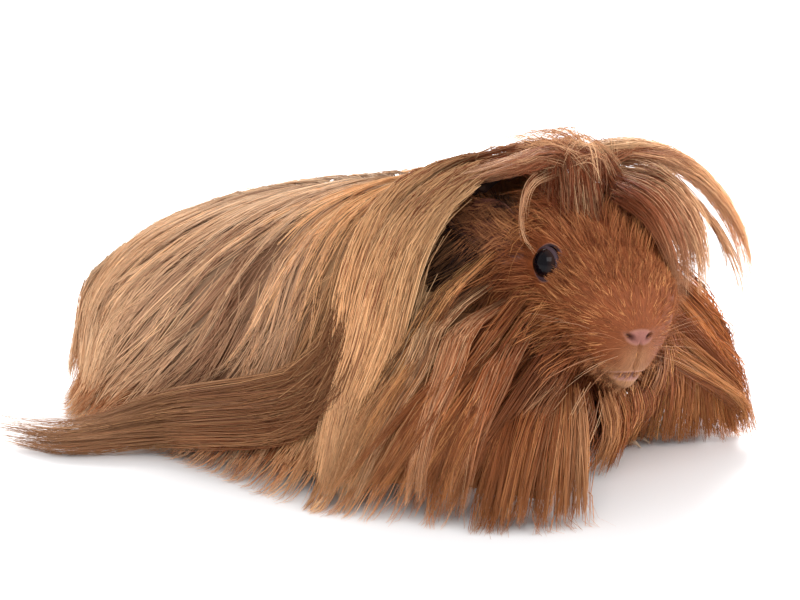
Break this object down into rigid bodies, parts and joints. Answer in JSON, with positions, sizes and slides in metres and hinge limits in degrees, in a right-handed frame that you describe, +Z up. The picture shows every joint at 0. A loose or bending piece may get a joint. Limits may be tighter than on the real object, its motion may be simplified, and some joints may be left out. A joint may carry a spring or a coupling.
{
  "type": "guinea pig",
  "caption": "Life-size still model of a standing long-haired guinea pig, its head raised and turned, its ginger and gold coat reaching the floor.",
  "frame": {"origin": "on the floor, under the middle of the animal's box", "axes": "+X along the body towards the head, +Y to the animal's left, +Z up"},
  "size_m": [0.238, 0.1674, 0.1087],
  "materials": {
    "body_fur": "short ginger-brown fur",
    "face_fur": "short flat ginger fur",
    "nose_skin": "pink skin, slightly moist",
    "ear_skin": "thin brown skin with a fine down",
    "eye": "wet dark gloss",
    "foot_skin": "bare pink skin",
    "claw": "pale horn",
    "coat_sand": "long silky sandy hair",
    "coat_ginger": "long silky ginger-brown hair",
    "coat_gold": "long silky golden hair"
  },
  "bodies": {
    "root": {"claw_fore_left_1": "claw", "claw_fore_left_2": "claw", "claw_fore_left_3": "claw", "claw_fore_left_4": "claw", "claw_fore_right_1": "claw", "claw_fore_right_2": "claw", "claw_fore_right_3": "claw", "claw_fore_right_4": "claw", "claw_hind_left_1": "claw", "claw_hind_left_2": "claw", "claw_hind_left_3": "claw", "claw_hind_right_1": "claw", "claw_hind_right_2": "claw", "claw_hind_right_3": "claw", "coat_cheek_left": "coat_ginger", "coat_cheek_right": "coat_ginger", "coat_crown": "coat_ginger", "coat_ear_lock": "coat_gold", "coat_flank_left": "coat_sand", "coat_flank_right": "coat_sand", "coat_forelock": "coat_gold", "coat_forelock_inner": "coat_gold", "coat_mane_left": "coat_gold", "coat_mane_right": "coat_gold", "coat_rump_left": "coat_sand", "coat_rump_right": "coat_sand", "coat_train": "coat_ginger", "ear_left": "ear_skin", "ear_right": "ear_skin", "eye_left": "eye", "eye_right": "eye", "head": "face_fur", "leg_fore_left": "foot_skin", "leg_fore_right": "foot_skin", "leg_hind_left": "foot_skin", "leg_hind_right": "foot_skin", "neck": "body_fur", "nose": "nose_skin", "trunk": "body_fur"}
  },
  "joints": []
}
